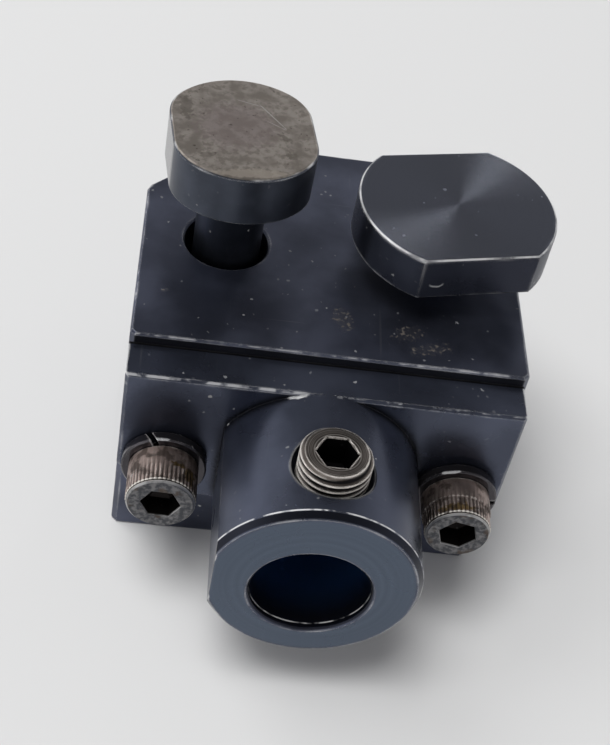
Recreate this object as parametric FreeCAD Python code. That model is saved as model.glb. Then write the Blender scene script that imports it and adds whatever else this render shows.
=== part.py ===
import FreeCAD, Part
import math
import os

from FreeCAD import Rotation, Vector

# Turning tool holder for the T-slots of a lathe's or automatic's tool slide.
# A machined steel block carries a front holder, one solid of plate and round boss,
# whose bore takes the tool's straight shank. Two cap screws clamp the holder to the block,
# a set screw in the boss locks the shank, and two T-bolts stand in the block's own holes.
#
# Frame, in millimetres: X to the right, Y to the rear, Z up. The origin is on the block's
# underside, midway between the two T-bolt holes.

# Block
block_wider = 0.6            # than the plate
block_depth = 43.7
block_height = 39.4
rear_corner_cut = 12.7
upright_edge_break = 0.75
flat_edge_break = 0.3

# Front holder: plate
screw_to_plate_edge = 6.45
plate_height = 22.7
plate_thickness = 6.1
plate_below_block_top = 1.5
plate_corner_cut = 5.0
plate_edge_break = 0.4
front_shift = -0.25          # the whole front sits this far to the right of the block's middle

# Front holder: boss, whose top is flush with the plate's top
boss_radius = 14.4
boss_reach = 20.2            # from the plate's face to the boss's end
boss_rim_step = 0.75         # how much smaller the end face is, on the radius
boss_rim_length = 1.05
boss_flat_depth = 1.5        # of the flat that clears the left washer

# Bore for the tool's shank, a little below the boss's own axis
tool_shank_diameter = 15.875
shank_clearance = 0.02       # on the radius
bore_below_boss_axis = 1.4
bore_mouth_chamfer = 0.4

# Cap screws, level with the bore, and their split spring washers
washer_to_boss = 0.05        # between the right washer's rim and the boss
screw_diameter = 6.35
screw_length = 19.05
head_diameter = 9.525
head_height = 6.35
head_rim_chamfer = 0.4
head_relief_step = 0.2       # the right screw's head is this much smaller in its front half
head_socket_flats = 4.7625
head_socket_depth = 3.2
left_socket_turn = -2.0
right_socket_turn = 47.0
screw_hole_clearance = 0.4   # in the plate, on the radius
washer_diameter = 11.6
washer_thickness = 1.6
washer_bore_clearance = 0.15
washer_split_width = 0.7
washer_split_slant = 30.0
left_split_angle = 112.0     # where the split is, from +X towards +Z
right_split_angle = 6.0
washer_edge_break = 0.2

# Threads are plain cylinders here, a little apart
thread_clearance = 0.05
tapped_hole_depth = 13.0
drill_point_half_angle = 59.0
thread_end_chamfer = 0.7

# Set screw in the top of the boss, backed out and standing proud
set_screw_diameter = 9.525
set_screw_length = 9.525
set_screw_from_boss_end = 8.6
set_screw_shift = 0.6        # from the boss's axis to the right
set_screw_proud = 2.3        # above the boss's top
set_screw_chamfer = 0.65
set_screw_socket_flats = 4.7625
set_screw_socket_depth = 4.6
set_screw_cup_radius = 2.4
set_screw_cup_depth = 1.0
set_screw_mouth_clearance = 0.65
set_screw_mouth_depth = 1.3

# T-bolts, which stand on the table through the block's clearance holes
bolt_diameter = 9.525
bolt_hole_clearance = 1.19   # on the radius
bolt_hole_spacing = 30.2
bolt_hole_from_front = 20.9
bolt_hole_chamfer = 0.3
bolt_end_chamfer = 0.9
neck_fillet = 0.5

left_bolt_length = 51.2      # under the head
left_head_diameter = 21.9
left_head_flats = 19.3
left_head_thickness = 7.6
left_head_turn = 98.2        # the flats face the sides
left_head_chamfer = 0.3
left_head_corner_round = 7.0
left_bolt_lean = (0.05, 0.2)

right_bolt_length = 44.3
right_head_diameter = 27.9
right_head_flats = 22.7
right_head_thickness = 6.75
right_head_turn = 13.9
right_head_chamfer = 0.3
right_head_corner_round = 0
right_bolt_lean = (0.65, -0.1)

# For the modelling alone
cutter_margin = 1.0          # how far a cutter runs past the face it opens
same_place = 1e-4            # edges nearer than this to a plane lie in it

# What follows from the sizes above
screw_from_boss_axis = boss_radius + washer_to_boss + washer_diameter / 2
plate_width = 2 * (screw_from_boss_axis + screw_to_plate_edge)
block_width = plate_width + block_wider
front_y = -bolt_hole_from_front
rear_y = front_y + block_depth
plate_top = block_height - plate_below_block_top
plate_bottom = plate_top - plate_height
boss_axis_z = plate_top - boss_radius
plate_face_y = front_y - plate_thickness
boss_end_y = plate_face_y - boss_reach
bore_z = boss_axis_z - bore_below_boss_axis
bore_radius = tool_shank_diameter / 2 + shank_clearance


def prism(points, direction):
    """A straight prism on a closed outline of 3-D points."""
    closed = points + [points[0]]
    face = Part.Face(Part.makePolygon(closed))
    return face.extrude(direction)


def turned(profile, base, axis):
    """A turned solid: profile is (radius, height) points, closed to the axis, heights along axis."""
    points = [Vector(0, 0, profile[0][1])]
    points += [Vector(radius, 0, height) for radius, height in profile]
    if profile[-1][0] > 0:
        points.append(Vector(0, 0, profile[-1][1]))
    face = Part.Face(Part.makePolygon(points + [points[0]]))
    solid = face.revolve(Vector(0, 0, 0), Vector(0, 0, 1), 360)
    solid.Placement = FreeCAD.Placement(base, Rotation(Vector(0, 0, 1), axis))
    return solid


def cone_height(radius, half_angle):
    return radius / math.tan(math.radians(half_angle))


def hex_socket(flats, depth, base, axis, turn):
    """A hexagon socket's cutter: it opens at base and runs against axis, with a drilled bottom."""
    corner = flats / math.sqrt(3)
    angles = [math.radians(turn + 360 * side / 6) for side in range(6)]
    outline = [Vector(corner * math.cos(angle), corner * math.sin(angle), -depth) for angle in angles]
    hexagon = prism(outline, Vector(0, 0, depth + cutter_margin))
    hexagon.Placement = FreeCAD.Placement(base, Rotation(Vector(0, 0, 1), axis))
    drill_radius = flats / 2
    tip = depth + cone_height(drill_radius, drill_point_half_angle)
    return hexagon.fuse(Part.makeCone(0, drill_radius, tip - depth, base - axis * tip, axis))


def outline_edges(shape, coordinate, value):
    """The straight edges that lie wholly in the plane where one coordinate has this value."""
    found = []
    for edge in shape.Edges:
        ends = [getattr(vertex.Point, coordinate) for vertex in edge.Vertexes]
        middle = getattr(edge.CenterOfMass, coordinate)
        if all(abs(place - value) < same_place for place in ends + [middle]):
            found.append(edge)
    return found


def upright_edges(shape):
    """The straight edges that run along Z."""
    found = []
    for edge in shape.Edges:
        first, last = edge.Vertexes[0].Point, edge.Vertexes[-1].Point
        level = abs(first.z - last.z) < same_place
        if not level and abs(first.x - last.x) < same_place and abs(first.y - last.y) < same_place:
            found.append(edge)
    return found


def screw_places():
    return {"left": front_shift - screw_from_boss_axis, "right": front_shift + screw_from_boss_axis}


def bolt_places():
    half = bolt_hole_spacing / 2
    return {"left": -half, "right": half}


def make_block():
    half = block_width / 2
    cut = rear_corner_cut
    corners = [
        Vector(-half, front_y, 0),
        Vector(half, front_y, 0),
        Vector(half, rear_y - cut, 0),
        Vector(half - cut, rear_y, 0),
        Vector(-half + cut, rear_y, 0),
        Vector(-half, rear_y - cut, 0),
    ]
    block = prism(corners, Vector(0, 0, block_height))
    block = block.makeChamfer(upright_edge_break, upright_edges(block))
    rims = outline_edges(block, "z", 0) + outline_edges(block, "z", block_height)
    block = block.makeChamfer(flat_edge_break, rims)
    for x in bolt_places().values():
        block = block.cut(bolt_hole_cutter(x))
    for x in screw_places().values():
        block = block.cut(tapped_hole_cutter(x))
    return block


def bolt_hole_cutter(x):
    radius = bolt_diameter / 2 + bolt_hole_clearance
    flare = bolt_hole_chamfer + cutter_margin
    profile = [
        (radius + flare, -cutter_margin),
        (radius, bolt_hole_chamfer),
        (radius, block_height - bolt_hole_chamfer),
        (radius + flare, block_height + cutter_margin),
    ]
    return turned(profile, Vector(x, 0, 0), Vector(0, 0, 1))


def tapped_hole_cutter(x):
    radius = screw_diameter / 2 + thread_clearance
    tip = tapped_hole_depth + cone_height(radius, drill_point_half_angle)
    profile = [(radius, -cutter_margin), (radius, tapped_hole_depth), (0, tip)]
    return turned(profile, Vector(x, front_y, bore_z), Vector(0, 1, 0))


def make_holder():
    solid = make_plate().fuse(make_boss())
    solid = solid.removeSplitter()
    solid = solid.cut(shank_bore_cutter())
    solid = solid.cut(set_screw_hole_cutter())
    for x in screw_places().values():
        radius = screw_diameter / 2 + screw_hole_clearance
        length = plate_thickness + 2 * cutter_margin
        start = Vector(x, front_y + cutter_margin, bore_z)
        solid = solid.cut(Part.makeCylinder(radius, length, start, Vector(0, -1, 0)))
    return solid


def make_plate():
    left = front_shift - plate_width / 2
    right = front_shift + plate_width / 2
    cut = plate_corner_cut
    corners = [
        Vector(left, front_y, plate_top),
        Vector(right, front_y, plate_top),
        Vector(right, front_y, plate_bottom + cut),
        Vector(right - cut, front_y, plate_bottom),
        Vector(left + cut, front_y, plate_bottom),
        Vector(left, front_y, plate_bottom + cut),
    ]
    plate = prism(corners, Vector(0, -plate_thickness, 0))
    return plate.makeChamfer(plate_edge_break, outline_edges(plate, "y", plate_face_y))


def make_boss():
    length = plate_thickness + boss_reach
    profile = [
        (boss_radius, 0),
        (boss_radius, length - boss_rim_length),
        (boss_radius - boss_rim_step, length),
    ]
    boss = turned(profile, Vector(front_shift, front_y, boss_axis_z), Vector(0, -1, 0))
    slab_width = boss_radius
    flat_x = front_shift - boss_radius + boss_flat_depth
    corner = Vector(flat_x - slab_width, boss_end_y - cutter_margin, boss_axis_z - boss_radius)
    slab = Part.makeBox(slab_width, boss_reach + cutter_margin, 2 * boss_radius, corner)
    return boss.cut(slab)


def shank_bore_cutter():
    length = plate_thickness + boss_reach
    flare = bore_mouth_chamfer + cutter_margin
    profile = [
        (bore_radius, -cutter_margin),
        (bore_radius, length - bore_mouth_chamfer),
        (bore_radius + flare, length + cutter_margin),
    ]
    return turned(profile, Vector(front_shift, front_y, bore_z), Vector(0, -1, 0))


def set_screw_axis():
    """Where the set screw's axis stands on the boss."""
    return front_shift + set_screw_shift, boss_end_y + set_screw_from_boss_end


def set_screw_hole_cutter():
    x, y = set_screw_axis()
    radius = set_screw_diameter / 2 + thread_clearance
    mouth = set_screw_diameter / 2 + set_screw_mouth_clearance
    relief_floor = plate_top - set_screw_mouth_depth
    profile = [
        (radius, bore_z),
        (radius, relief_floor - (mouth - radius)),
        (mouth, relief_floor),
        (mouth, plate_top + cutter_margin),
    ]
    return turned(profile, Vector(x, y, 0), Vector(0, 0, 1))


def make_set_screw():
    x, y = set_screw_axis()
    radius = set_screw_diameter / 2
    top = plate_top + set_screw_proud
    bottom = top - set_screw_length
    profile = [
        (set_screw_cup_radius, bottom),
        (radius - thread_end_chamfer, bottom),
        (radius, bottom + thread_end_chamfer),
        (radius, top - set_screw_chamfer),
        (radius - set_screw_chamfer, top),
    ]
    screw = turned(profile, Vector(x, y, 0), Vector(0, 0, 1))
    cup = Part.makeCone(set_screw_cup_radius, 0, set_screw_cup_depth, Vector(x, y, bottom), Vector(0, 0, 1))
    socket = hex_socket(set_screw_socket_flats, set_screw_socket_depth, Vector(x, y, top), Vector(0, 0, 1), 0)
    return screw.cut(cup).cut(socket)


def make_cap_screw(x, front_relief, socket_turn):
    """A socket head cap screw, lying along Y with its head to the front."""
    head_radius = head_diameter / 2
    front_radius = head_radius - front_relief
    shank_radius = screw_diameter / 2
    seat_y = plate_face_y - washer_thickness
    profile = [
        (shank_radius - thread_end_chamfer, -screw_length),
        (shank_radius, -screw_length + thread_end_chamfer),
        (shank_radius, 0),
        (head_radius, 0),
        (head_radius, head_height / 2),
        (front_radius, head_height / 2 + front_relief),
        (front_radius, head_height - head_rim_chamfer),
        (front_radius - head_rim_chamfer, head_height),
    ]
    forward = Vector(0, -1, 0)
    screw = turned(profile, Vector(x, seat_y, bore_z), forward)
    face = Vector(x, seat_y - head_height, bore_z)
    return screw.cut(hex_socket(head_socket_flats, head_socket_depth, face, forward, socket_turn))


def make_spring_washer(x, split_angle):
    """A split spring washer of square-cut strip, pressed flat under a screw's head."""
    outer = washer_diameter / 2
    inner = screw_diameter / 2 + washer_bore_clearance
    rim = washer_edge_break
    face = Vector(x, plate_face_y, bore_z)
    forward = Vector(0, -1, 0)
    profile = [(outer - rim, 0), (outer, rim), (outer, washer_thickness - rim), (outer - rim, washer_thickness)]
    ring = turned(profile, face, forward)
    hole_length = washer_thickness + 2 * cutter_margin
    hole = Part.makeCylinder(inner, hole_length, face - forward * cutter_margin, forward)
    slit = Part.makeBox(
        outer + cutter_margin,
        2 * hole_length,
        washer_split_width,
        Vector(0, -hole_length, -washer_split_width / 2),
    )
    slit.rotate(Vector(0, 0, 0), Vector(1, 0, 0), washer_split_slant)
    slit.rotate(Vector(0, 0, 0), Vector(0, -1, 0), split_angle)
    slit.translate(face + forward * (washer_thickness / 2))
    return ring.cut(hole).cut(slit)


def make_bolt_head(head, flats, base, thickness, chamfer, corner_round):
    """A T-bolt's round head with two flats milled on it, its four corners rounded if they are worn."""
    radius = head / 2
    solid = Part.makeCylinder(radius, thickness, Vector(0, 0, base))
    for angle in (0, 180):
        slab = Part.makeBox(head, radius, thickness, Vector(-radius, flats / 2, base))
        slab.rotate(Vector(0, 0, 0), Vector(0, 0, 1), angle)
        solid = solid.cut(slab)
    if corner_round > 0:
        solid = solid.makeFillet(corner_round, upright_edges(solid))
    rims = outline_edges(solid, "z", base) + outline_edges(solid, "z", base + thickness)
    return solid.makeChamfer(chamfer, rims)


def make_t_bolt(x, length, head, flats, thickness, turn, chamfer, corner_round, lean):
    """A T-bolt standing upright: a turned shank under a flatted head."""
    shank_radius = bolt_diameter / 2
    profile = [
        (shank_radius - bolt_end_chamfer, 0),
        (shank_radius, bolt_end_chamfer),
        (shank_radius, length - neck_fillet),
        (shank_radius + neck_fillet, length),
    ]
    shank = turned(profile, Vector(0, 0, 0), Vector(0, 0, 1))
    bolt = shank.fuse(make_bolt_head(head, flats, length, thickness, chamfer, corner_round))
    bolt = bolt.removeSplitter()
    bolt.rotate(Vector(0, 0, 0), Vector(0, 0, 1), turn)
    bolt.translate(Vector(x + lean[0], lean[1], 0))
    return bolt


def make_parts():
    screws = screw_places()
    bolts = bolt_places()
    return {
        "block": make_block(),
        "bar_holder": make_holder(),
        "set_screw": make_set_screw(),
        "cap_screw_left": make_cap_screw(screws["left"], 0, left_socket_turn),
        "cap_screw_right": make_cap_screw(screws["right"], head_relief_step, right_socket_turn),
        "spring_washer_left": make_spring_washer(screws["left"], left_split_angle),
        "spring_washer_right": make_spring_washer(screws["right"], right_split_angle),
        "t_bolt_left": make_t_bolt(
            bolts["left"], left_bolt_length, left_head_diameter, left_head_flats,
            left_head_thickness, left_head_turn, left_head_chamfer, left_head_corner_round,
            left_bolt_lean,
        ),
        "t_bolt_right": make_t_bolt(
            bolts["right"], right_bolt_length, right_head_diameter, right_head_flats,
            right_head_thickness, right_head_turn, right_head_chamfer, right_head_corner_round,
            right_bolt_lean,
        ),
    }


os.makedirs("parts", exist_ok=True)
for name, shape in make_parts().items():
    shape.exportStep("parts/" + name + ".step")
    print(name, "solids", len(shape.Solids), "valid", shape.isValid(), "volume", round(shape.Volume, 1))
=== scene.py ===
import math

import bpy
from mathutils import Matrix, Vector


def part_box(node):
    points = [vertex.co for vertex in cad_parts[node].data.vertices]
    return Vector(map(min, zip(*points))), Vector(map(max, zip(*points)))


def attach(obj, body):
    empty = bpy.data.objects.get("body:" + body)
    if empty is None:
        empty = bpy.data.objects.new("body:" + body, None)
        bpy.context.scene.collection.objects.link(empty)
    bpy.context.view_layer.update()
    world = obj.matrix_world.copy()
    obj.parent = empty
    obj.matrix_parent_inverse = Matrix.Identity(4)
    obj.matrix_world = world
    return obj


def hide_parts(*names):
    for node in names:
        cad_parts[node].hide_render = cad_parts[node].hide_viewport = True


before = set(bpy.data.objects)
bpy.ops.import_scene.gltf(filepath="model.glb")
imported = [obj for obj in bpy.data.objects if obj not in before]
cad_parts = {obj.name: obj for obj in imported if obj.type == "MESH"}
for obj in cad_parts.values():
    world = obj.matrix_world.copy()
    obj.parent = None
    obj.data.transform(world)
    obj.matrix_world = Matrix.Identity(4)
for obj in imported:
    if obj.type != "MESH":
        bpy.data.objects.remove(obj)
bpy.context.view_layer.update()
MM = 0.001


# Camera
# A phone held over the table, in front of the tool's bore and a little to its left,
# tilted a few degrees. Its lens and place were fitted to the block's edges in the photograph.
IMAGE_HEIGHT_PX = 745
FOCAL_PX = 1511.354
OPTICAL_AXIS_PX = (0.987, 27.27)     # right of and below the picture's middle
target = Vector((-2.274, -20.9, 30.615)) * MM
distance = 206.592 * MM
elevation = math.radians(45.599)
yaw = math.radians(-8.887)
roll = math.radians(12.809)

back = Vector((
    math.sin(yaw) * math.cos(elevation),
    -math.cos(yaw) * math.cos(elevation),
    math.sin(elevation),
))
level_right = Vector((math.cos(yaw), math.sin(yaw), 0))
level_up = back.cross(level_right)
right = level_right * math.cos(roll) + level_up * math.sin(roll)
up = level_up * math.cos(roll) - level_right * math.sin(roll)

camera_data = bpy.data.cameras.new("camera")
camera_data.sensor_fit = "VERTICAL"
camera_data.sensor_height = 36.0
camera_data.lens = camera_data.sensor_height * FOCAL_PX / IMAGE_HEIGHT_PX
camera_data.shift_x = -OPTICAL_AXIS_PX[0] / IMAGE_HEIGHT_PX
camera_data.shift_y = OPTICAL_AXIS_PX[1] / IMAGE_HEIGHT_PX
camera_data.clip_start = 0.005
camera = bpy.data.objects.new("camera", camera_data)
bpy.context.scene.collection.objects.link(camera)
turned_axes = Matrix((right, up, back)).transposed().to_4x4()
camera.matrix_world = Matrix.Translation(target + back * distance) @ turned_axes
bpy.context.scene.camera = camera


# Studio
# A sheet of off-white paper on a table under a broad pale ceiling. The room is bright near
# the horizon and dim overhead, with one soft window high on the left.
scene = bpy.context.scene
scene.view_settings.view_transform = "Standard"

PAPER_COLOUR = (0.655, 0.655, 0.652, 1)
PAPER_HALF_WIDTH = 3.0
BACKDROP_COLOUR = (0.68, 0.68, 0.68, 1)
# How bright the room is, by the height of the direction: 0 at the horizon, 1 overhead
ROOM_BRIGHTNESS = ((0.0, 0.95), (0.28, 0.90), (0.56, 0.32), (0.74, 0.19), (1.0, 0.10))
BRIGHTER_ON_THE_LEFT = 0.25
CEILING_PLACE = (-0.55, -0.5, 2.3)
CEILING_SIZE = 1.1
CEILING_POWER = 43.0
WINDOW_PLACE = (-0.52, 0.22, 0.82)
WINDOW_SIZE = 0.45
WINDOW_POWER = 2.2
FAR_WINDOW_PLACE = (0.37, 1.15, 0.47)
FAR_WINDOW_SIZE = 0.10
FAR_WINDOW_POWER = 0.5


def node(tree, kind, **settings):
    made = tree.nodes.new(kind)
    for key, value in settings.items():
        setattr(made, key, value)
    return made


def link(tree, output, entry):
    tree.links.new(output, entry)


def fill(tree, entry, value):
    """Puts a value, or what another node gives, into a node's input."""
    if isinstance(value, bpy.types.NodeSocket):
        link(tree, value, entry)
    else:
        entry.default_value = value


def sums(tree, operation, first, second=0.0, clamp=False):
    """A math node on two values or sockets. Returns its output."""
    made = node(tree, "ShaderNodeMath", operation=operation, use_clamp=clamp)
    fill(tree, made.inputs[0], first)
    fill(tree, made.inputs[1], second)
    return made.outputs[0]


paper_mesh = bpy.data.meshes.new("paper")
side = PAPER_HALF_WIDTH
paper_mesh.from_pydata([(-side, -side, 0), (side, -side, 0), (side, side, 0), (-side, side, 0)], [], [(0, 1, 2, 3)])
paper = bpy.data.objects.new("paper", paper_mesh)
scene.collection.objects.link(paper)
paper_material = bpy.data.materials.new("white paper")
paper_material.use_nodes = True
paper_shader = paper_material.node_tree.nodes["Principled BSDF"]
paper_shader.inputs["Base Color"].default_value = PAPER_COLOUR
paper_shader.inputs["Roughness"].default_value = 0.9
paper_shader.inputs["Specular IOR Level"].default_value = 0.1
paper_mesh.materials.append(paper_material)
# Far off, the sheet fades into the backdrop: only for the camera, so that it lights nothing
paper_tree = paper_material.node_tree
paper_place = node(paper_tree, "ShaderNodeTexCoord")
from_middle = node(paper_tree, "ShaderNodeVectorMath", operation="LENGTH")
link(paper_tree, paper_place.outputs["Object"], from_middle.inputs[0])
far_off = node(paper_tree, "ShaderNodeMapRange", interpolation_type="SMOOTHSTEP")
link(paper_tree, from_middle.outputs["Value"], far_off.inputs["Value"])
far_off.inputs["From Min"].default_value = 0.16
far_off.inputs["From Max"].default_value = 0.75
seen = node(paper_tree, "ShaderNodeLightPath").outputs["Is Camera Ray"]
haze = node(paper_tree, "ShaderNodeEmission")
haze.inputs["Color"].default_value = BACKDROP_COLOUR
fading = node(paper_tree, "ShaderNodeMixShader")
link(paper_tree, sums(paper_tree, "MULTIPLY", far_off.outputs["Result"], seen), fading.inputs["Fac"])
link(paper_tree, paper_shader.outputs["BSDF"], fading.inputs[1])
link(paper_tree, haze.outputs["Emission"], fading.inputs[2])
link(paper_tree, fading.outputs["Shader"], paper_tree.nodes["Material Output"].inputs["Surface"])

world = bpy.data.worlds.new("room")
world.use_nodes = True
scene.world = world
room_tree = world.node_tree
room = room_tree.nodes["Background"]
room_direction = node(room_tree, "ShaderNodeTexCoord")
room_parts = node(room_tree, "ShaderNodeSeparateXYZ")
link(room_tree, room_direction.outputs["Generated"], room_parts.inputs["Vector"])
room_ramp = node(room_tree, "ShaderNodeValToRGB")
room_ramp.color_ramp.interpolation = "B_SPLINE"
stops = room_ramp.color_ramp.elements
while len(stops) < len(ROOM_BRIGHTNESS):
    stops.new(0.5)
for stop, (height, brightness) in zip(stops, ROOM_BRIGHTNESS):
    stop.position = height
    stop.color = (brightness, brightness, brightness * 1.03, 1)
link(room_tree, room_parts.outputs["Z"], room_ramp.inputs["Fac"])
link(room_tree, room_ramp.outputs["Color"], room.inputs["Color"])
leftward = sums(room_tree, "MULTIPLY", room_parts.outputs["X"], -BRIGHTER_ON_THE_LEFT)
link(room_tree, sums(room_tree, "ADD", leftward, 1.0), room.inputs["Strength"])
backdrop = node(room_tree, "ShaderNodeBackground")
backdrop.inputs["Color"].default_value = BACKDROP_COLOUR
room_or_backdrop = node(room_tree, "ShaderNodeMixShader")
link(room_tree, node(room_tree, "ShaderNodeLightPath").outputs["Is Camera Ray"], room_or_backdrop.inputs["Fac"])
link(room_tree, room.outputs["Background"], room_or_backdrop.inputs[1])
link(room_tree, backdrop.outputs["Background"], room_or_backdrop.inputs[2])
link(room_tree, room_or_backdrop.outputs["Shader"], room_tree.nodes["World Output"].inputs["Surface"])


def soft_light(name, place, size, power):
    """A square soft light that faces the block."""
    lamp_data = bpy.data.lights.new(name, "AREA")
    lamp_data.shape = "SQUARE"
    lamp_data.size = size
    lamp_data.energy = power
    lamp = bpy.data.objects.new(name, lamp_data)
    scene.collection.objects.link(lamp)
    place = Vector(place)
    lamp.matrix_world = Matrix.Translation(place) @ (-place).to_track_quat("-Z", "Y").to_matrix().to_4x4()
    return lamp


ceiling = soft_light("ceiling", CEILING_PLACE, CEILING_SIZE, CEILING_POWER)
ceiling.visible_glossy = False
soft_light("soft window", WINDOW_PLACE, WINDOW_SIZE, WINDOW_POWER)
soft_light("far window", FAR_WINDOW_PLACE, FAR_WINDOW_SIZE, FAR_WINDOW_POWER)


# Block
# A milled block of tool steel, blackened after machining, so that its faces are satin
# blue-black. Its edges are broken by hand and have worn through to bright steel.
BLACK_STEEL = (0.088, 0.097, 0.136, 1)
BRIGHT_STEEL = (0.72, 0.72, 0.72, 1)
WORN_ROUGHNESS = 0.55
LINT_GREY = (0.46, 0.46, 0.45, 1)
# Painted shade for inner corners and recesses, and dirt for joints
CORNER_SHADE_AND_DIRT = (0.012, 0.012, 0.014, 1)
DUST_BROWN = (0.30, 0.27, 0.24, 1)
DUST_HEAPS = (
    ((1.4, -13.4, 39.4), (1.5, 2.6, 0.5)),
    ((10.4, -14.8, 39.4), (2.6, 1.6, 0.5)),
    ((13.5, -17.5, 39.4), (3.5, 1.2, 0.5)),
    ((-23.1, -11.9, 39.4), (0.7, 0.35, 0.5)),
)


def new_group(name, entries, outputs):
    """An empty shader node group: float inputs with their defaults, and outputs by kind."""
    tree = bpy.data.node_groups.new(name, "ShaderNodeTree")
    for entry, value in entries.items():
        socket = tree.interface.new_socket(entry, in_out="INPUT", socket_type="NodeSocketFloat")
        socket.default_value = value
    for output, kind in outputs.items():
        tree.interface.new_socket(output, in_out="OUTPUT", socket_type="NodeSocket" + kind)
    return tree, node(tree, "NodeGroupInput").outputs, node(tree, "NodeGroupOutput").inputs


def stretch(tree, value, low, high):
    """Spreads the stretch of a value from low to high over 0 to 1."""
    made = node(tree, "ShaderNodeMapRange", interpolation_type="SMOOTHSTEP")
    link(tree, value, made.inputs["Value"])
    made.inputs["From Min"].default_value = low
    made.inputs["From Max"].default_value = high
    return made.outputs["Result"]


def between(tree, share, first, second):
    """A value that goes from first to second as share goes from 0 to 1."""
    made = node(tree, "ShaderNodeMapRange")
    link(tree, share, made.inputs["Value"])
    fill(tree, made.inputs["To Min"], first)
    fill(tree, made.inputs["To Max"], second)
    return made.outputs["Result"]


def blend(tree, share, first, second):
    """A colour that goes from first to second as share goes from 0 to 1."""
    made = node(tree, "ShaderNodeMix", data_type="RGBA")
    entries = {entry.identifier: entry for entry in made.inputs}
    fill(tree, entries["Factor_Float"], share)
    fill(tree, entries["A_Color"], first)
    fill(tree, entries["B_Color"], second)
    return next(output for output in made.outputs if output.identifier == "Result_Color")


def shade(colour, factor):
    return tuple(part * factor for part in colour[:3]) + (1,)


def grain_noise(tree, scale, detail, squeeze=(1, 1, 1), turn=(0, 0, 0)):
    """Noise fixed to the metal, in the frame's metres, stretched along an axis where squeeze is small."""
    place = node(tree, "ShaderNodeTexCoord")
    mapping = node(tree, "ShaderNodeMapping")
    mapping.inputs["Scale"].default_value = squeeze
    mapping.inputs["Rotation"].default_value = [math.radians(angle) for angle in turn]
    link(tree, place.outputs["Object"], mapping.inputs["Vector"])
    made = node(tree, "ShaderNodeTexNoise")
    made.inputs["Detail"].default_value = detail
    link(tree, mapping.outputs["Vector"], made.inputs["Vector"])
    fill(tree, made.inputs["Scale"], scale)
    return made.outputs["Fac"]


# Where the black is rubbed off: along outer edges, in patches. Inner corners are darkened as painted shade, which
# stands also for dirt held there.
# Its normal rounds the edges.
wear_and_shade_tree, wear_in, wear_and_shade_out = new_group(
    "worn edges and shaded corners",
    {"Width": 0.0005, "Amount": 0.3, "Patches": 350.0},
    {"Mask": "Float", "Shaded corner": "Float", "Rounded": "Vector"},
)


def closeness(tree, reach, inside):
    """How near the surface comes to itself within a reach: 0 on a plane, to 1."""
    made = node(tree, "ShaderNodeAmbientOcclusion", samples=5, inside=inside, only_local=True)
    fill(tree, made.inputs["Distance"], reach)
    return sums(tree, "SUBTRACT", 1.0, made.outputs["AO"])


outer_edge = stretch(wear_and_shade_tree, closeness(wear_and_shade_tree, wear_in["Width"], True), 0.04, 0.36)
inner_corner_shade = stretch(wear_and_shade_tree, closeness(wear_and_shade_tree, 0.0016, False), 0.10, 0.42)
rubbed = sums(wear_and_shade_tree, "ADD", grain_noise(wear_and_shade_tree, wear_in["Patches"], 3.0), wear_in["Amount"])
rubbed = sums(wear_and_shade_tree, "ADD", sums(wear_and_shade_tree, "MULTIPLY", outer_edge, 1.3), rubbed)
rubbed = sums(wear_and_shade_tree, "MULTIPLY", sums(wear_and_shade_tree, "SUBTRACT", rubbed, 1.5), 3.0, clamp=True)
rounded = node(wear_and_shade_tree, "ShaderNodeBevel", samples=6)
link(wear_and_shade_tree, sums(wear_and_shade_tree, "MULTIPLY", wear_in["Width"], 0.6), rounded.inputs["Radius"])
link(wear_and_shade_tree, rubbed, wear_and_shade_out["Mask"])
link(wear_and_shade_tree, inner_corner_shade, wear_and_shade_out["Shaded corner"])
link(wear_and_shade_tree, rounded.outputs["Normal"], wear_and_shade_out["Rounded"])

# Machined and blackened metal: slow mottling, fine grain and hairline scratches
metal_tree, metal_in, metal_out = new_group(
    "machined metal",
    {"Mottle size": 110.0, "Grain size": 3500.0},
    {"Mottle": "Float", "Grain": "Float", "Scratches": "Float"},
)
mottle = stretch(metal_tree, grain_noise(metal_tree, metal_in["Mottle size"], 6.0), 0.32, 0.70)
link(metal_tree, mottle, metal_out["Mottle"])
link(metal_tree, grain_noise(metal_tree, metal_in["Grain size"], 2.0), metal_out["Grain"])
long_scratches = grain_noise(metal_tree, 1100.0, 1.0, squeeze=(1, 0.05, 1), turn=(0, 0, 34))
cross_scratches = grain_noise(metal_tree, 1300.0, 1.0, squeeze=(0.06, 1, 1), turn=(0, 0, 71))
scratches = sums(
    metal_tree, "MAXIMUM",
    stretch(metal_tree, long_scratches, 0.73, 0.79),
    stretch(metal_tree, cross_scratches, 0.74, 0.80),
)
link(metal_tree, scratches, metal_out["Scratches"])

# Lint and dust: small pale specks of many sizes, thicker in some places than in others
lint_tree, lint_in, lint_out = new_group("lint", {"Cells": 640.0, "Size": 0.22, "Share": 0.2}, {"Mask": "Float"})
lint_place = node(lint_tree, "ShaderNodeTexCoord")
frayed = node(lint_tree, "ShaderNodeTexNoise")
frayed.inputs["Scale"].default_value = 2600.0
link(lint_tree, lint_place.outputs["Object"], frayed.inputs["Vector"])
fray = node(lint_tree, "ShaderNodeVectorMath", operation="MULTIPLY_ADD")
link(lint_tree, frayed.outputs["Color"], fray.inputs[0])
fray.inputs[1].default_value = (0.0005, 0.0005, 0.0005)
link(lint_tree, lint_place.outputs["Object"], fray.inputs[2])
cells = node(lint_tree, "ShaderNodeTexVoronoi")
link(lint_tree, fray.outputs["Vector"], cells.inputs["Vector"])
link(lint_tree, lint_in["Cells"], cells.inputs["Scale"])
chance = node(lint_tree, "ShaderNodeSeparateColor")
link(lint_tree, cells.outputs["Color"], chance.inputs["Color"])
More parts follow.
